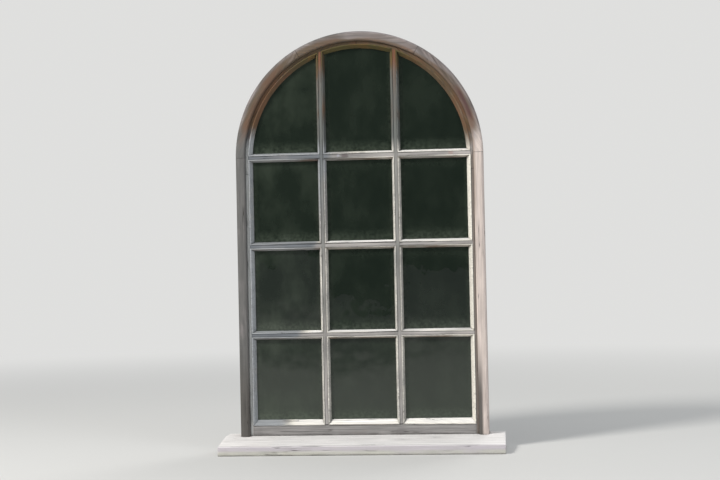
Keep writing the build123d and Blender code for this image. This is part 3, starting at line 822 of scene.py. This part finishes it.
# Pieces that keep their packed form: the start of the name, and the material
PLAIN = (
    ("frame_head_tongues", frame_timber),
    ("sash_head_tongue", sash_timber),
    ("stop_bead_screws", dull_steel()),
    ("pane", old_glass()),
)

# Pieces that get worn arrises: the start of the name, the material, its slot and the arrises' size
WORN = (
    ("sill", sill_timber, "sill_timber", SILL_EASE),
    ("jamb", frame_timber, "frame_timber", EASE),
    ("frame_head", frame_timber, "frame_timber", EASE),
    ("sash", sash_timber, "sash_timber", EASE),
    ("upright", upright_timber, "sash_timber", EASE),
    ("cross_bar", sash_timber, "sash_timber", EASE),
    ("glazing_beads", bead_timber, "bead_timber", BEAD_EASE),
    ("stop_bead", sash_timber, "inner_timber", EASE),
)

for node in sorted(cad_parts):
    plain = next((material for start, material in PLAIN if node.startswith(start)), None)
    if plain:
        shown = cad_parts[node]
        shown.data.materials.clear()
        shown.data.materials.append(plain)
    else:
        _, material, slot, ease = next(row for row in WORN if node.startswith(row[0]))
        dress(node, ease, material, slot)


# Stage: floor, light and camera

BACKGROUND = (0.74, 0.74, 0.73, 1)
FLOOR = (0.615, 0.615, 0.605, 1)
FLOOR_RADIUS = 40
FLOOR_FADE = (2.0, 7.0)
SKY = (0.93, 0.96, 1.0, 1)
SKY_STRENGTH = 0.5
DIM = (0.10, 0.13, 0.11, 1)

# Lamps: name, place, size, watts and colour
LAMPS = (
    ("key", (-4.4, -4.6, 5.8), 2.0, 590, (1.0, 0.97, 0.92)),
    ("fill", (4.4, -4.0, 2.4), 3.0, 70, (0.92, 0.96, 1.0)),
    ("back", (2.4, 5.0, 5.0), 3.0, 110, (1.0, 0.98, 0.95)),
)

EYE = (0.524, -5.5, 0.686)
LENS = 75
FILM_WIDTH = 36
ROLL = radians(-1.2)


def floor_material():
    """A pale floor that fades into the background colour far from the window."""
    tree = Tree("pale_floor")
    place = tree.node("ShaderNodeTexCoord").outputs["Object"]
    distance = tree.vector("LENGTH", {0: place}).outputs["Value"]
    tree.shader.inputs["Base Color"].default_value = FLOOR
    tree.shader.inputs["Roughness"].default_value = 0.9
    far = tree.ramp(distance, *FLOOR_FADE)
    seen = tree.node("ShaderNodeLightPath").outputs["Is Camera Ray"]
    glow = tree.node("ShaderNodeEmission", {"Color": BACKGROUND, "Strength": 1.0})
    blend = tree.node("ShaderNodeMixShader", {0: tree.times(far, seen)})
    tree.links.new(tree.shader.outputs[0], blend.inputs[1])
    tree.links.new(glow.outputs[0], blend.inputs[2])
    tree.links.new(blend.outputs[0], tree.nodes["Material Output"].inputs["Surface"])
    return tree.material


def make_floor():
    bm = bmesh.new()
    bmesh.ops.create_circle(bm, cap_ends=True, radius=FLOOR_RADIUS, segments=64)
    mesh = bpy.data.meshes.new("floor")
    bm.to_mesh(mesh)
    bm.free()
    floor = bpy.data.objects.new("floor", mesh)
    bpy.context.scene.collection.objects.link(floor)
    mesh.materials.append(floor_material())


def make_world():
    """Soft sky light, which the camera sees as the background and the glass as dim surroundings."""
    world = bpy.data.worlds.new("studio")
    bpy.context.scene.world = world
    world.use_nodes = True
    nodes, links = world.node_tree.nodes, world.node_tree.links
    light = nodes["Background"]
    light.inputs["Color"].default_value = SKY
    light.inputs["Strength"].default_value = SKY_STRENGTH
    rays = nodes.new("ShaderNodeLightPath").outputs
    result = light.outputs[0]
    for ray, colour in (("Is Camera Ray", BACKGROUND), ("Is Glossy Ray", DIM)):
        seen = nodes.new("ShaderNodeBackground")
        seen.inputs["Color"].default_value = colour
        blend = nodes.new("ShaderNodeMixShader")
        links.new(rays[ray], blend.inputs[0])
        links.new(result, blend.inputs[1])
        links.new(seen.outputs[0], blend.inputs[2])
        result = blend.outputs[0]
    links.new(result, nodes["World Output"].inputs["Surface"])


def aim(thing, place, target):
    thing.location = place
    thing.rotation_euler = (Vector(target) - Vector(place)).to_track_quat("-Z", "Y").to_euler()


def add_lamp(name, place, target, size, energy, colour):
    light = bpy.data.lights.new(name, "AREA")
    light.shape = "DISK"
    light.size = size
    light.energy = energy
    light.color = colour
    lamp = bpy.data.objects.new(name, light)
    bpy.context.scene.collection.objects.link(lamp)
    aim(lamp, place, target)


def add_camera(target):
    camera = bpy.data.objects.new("camera", bpy.data.cameras.new("camera"))
    bpy.context.scene.collection.objects.link(camera)
    aim(camera, EYE, target)
    camera.rotation_euler.rotate_axis("Z", ROLL)
    camera.data.lens = LENS
    camera.data.sensor_width = FILM_WIDTH
    bpy.context.scene.camera = camera


middle = (cad_box[0] + cad_box[1]) / 2
make_floor()
make_world()
for name, place, size, energy, colour in LAMPS:
    add_lamp(name, place, middle, size, energy, colour)
add_camera((0, 0, middle.z))
bpy.context.scene.view_settings.view_transform = "Standard"
